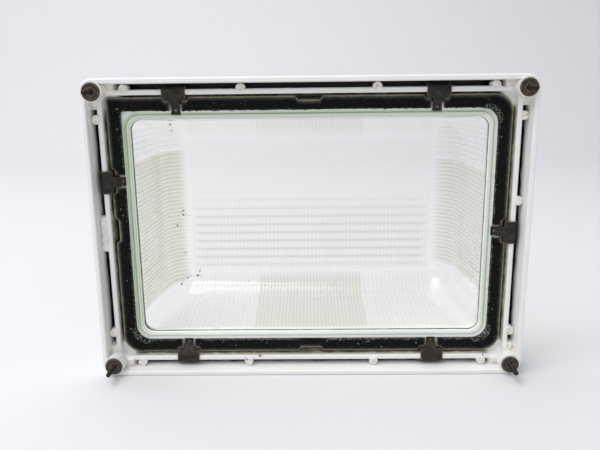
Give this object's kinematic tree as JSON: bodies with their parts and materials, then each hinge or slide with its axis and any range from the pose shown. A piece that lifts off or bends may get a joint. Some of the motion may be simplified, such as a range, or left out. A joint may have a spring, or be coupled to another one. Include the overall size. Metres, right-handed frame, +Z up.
{
  "type": "wall pack floodlight front cover",
  "caption": "Rectangular die-cast floodlight front cover with a pressed prismatic glass bowl held by spring clips, a felt seal and captive corner screws.",
  "frame": {"origin": "bottom centre of the assembly's box: on the bottom edge of the frame, midway along X and midway between the screw tips and the bowl's front", "axes": "+X along the long side, +Y out of the bowl's front, away from the housing, +Z up along the short side of the frame"},
  "size_m": [0.36, 0.136, 0.252],
  "materials": {
    "white_paint": "white paint sprayed on die-cast aluminium, satin, yellowed at the corners",
    "pressed_glass": "clear pressed soda-lime glass with prism ribs, green in its edges",
    "silicone_sponge": "soft off-white sponge, matt",
    "black_felt": "black needled felt, matt, with tan cut edges",
    "blackened_spring_steel": "heat-blackened spring steel with light rust",
    "blackened_screw_steel": "black oxide steel, dull",
    "dark_phosphated_steel": "brown-black phosphated spring steel"
  },
  "bodies": {
    "cover": {"door_frame": "white_paint", "glass_refractor": "pressed_glass", "seat_seal": "silicone_sponge", "felt_strip_top": "black_felt", "felt_strip_bottom": "black_felt", "felt_strip_upper_left": "black_felt", "felt_strip_upper_right": "black_felt", "felt_strip_lower_left": "black_felt", "felt_strip_lower_right": "black_felt", "clip_top_left": "blackened_spring_steel", "clip_top_right": "blackened_spring_steel", "clip_left": "blackened_spring_steel", "clip_right": "blackened_spring_steel", "clip_bottom_left": "blackened_spring_steel", "clip_bottom_right": "blackened_spring_steel"},
    "captive_set_top_left": {"retainer_top_left": "dark_phosphated_steel"},
    "screw_top_left": {"screw_top_left": "blackened_screw_steel"},
    "captive_set_top_right": {"retainer_top_right": "dark_phosphated_steel"},
    "screw_top_right": {"screw_top_right": "blackened_screw_steel"},
    "captive_set_bottom_left": {"retainer_bottom_left": "dark_phosphated_steel"},
    "screw_bottom_left": {"screw_bottom_left": "blackened_screw_steel"},
    "captive_set_bottom_right": {"retainer_bottom_right": "dark_phosphated_steel"},
    "screw_bottom_right": {"screw_bottom_right": "blackened_screw_steel"}
  },
  "joints": [
    {"name": "captive_slide_top_left", "type": "slide", "parent": "cover", "child": "captive_set_top_left", "axis": [0, -1, 0], "range_m": [0, 0.008]},
    {"name": "screw_spin_top_left", "type": "hinge", "parent": "captive_set_top_left", "child": "screw_top_left", "pos_m": [-0.1699, 0, 0.2419], "axis": [0, -1, 0], "continuous": true},
    {"name": "captive_slide_top_right", "type": "slide", "parent": "cover", "child": "captive_set_top_right", "axis": [0, -1, 0], "range_m": [0, 0.008]},
    {"name": "screw_spin_top_right", "type": "hinge", "parent": "captive_set_top_right", "child": "screw_top_right", "pos_m": [0.1699, 0, 0.2419], "axis": [0, -1, 0], "continuous": true},
    {"name": "captive_slide_bottom_left", "type": "slide", "parent": "cover", "child": "captive_set_bottom_left", "axis": [0, -1, 0], "range_m": [0, 0.008]},
    {"name": "screw_spin_bottom_left", "type": "hinge", "parent": "captive_set_bottom_left", "child": "screw_bottom_left", "pos_m": [-0.1699, 0, 0.0101], "axis": [0, -1, 0], "continuous": true},
    {"name": "captive_slide_bottom_right", "type": "slide", "parent": "cover", "child": "captive_set_bottom_right", "axis": [0, -1, 0], "range_m": [0, 0.008]},
    {"name": "screw_spin_bottom_right", "type": "hinge", "parent": "captive_set_bottom_right", "child": "screw_bottom_right", "pos_m": [0.1699, 0, 0.0101], "axis": [0, -1, 0], "continuous": true}
  ]
}
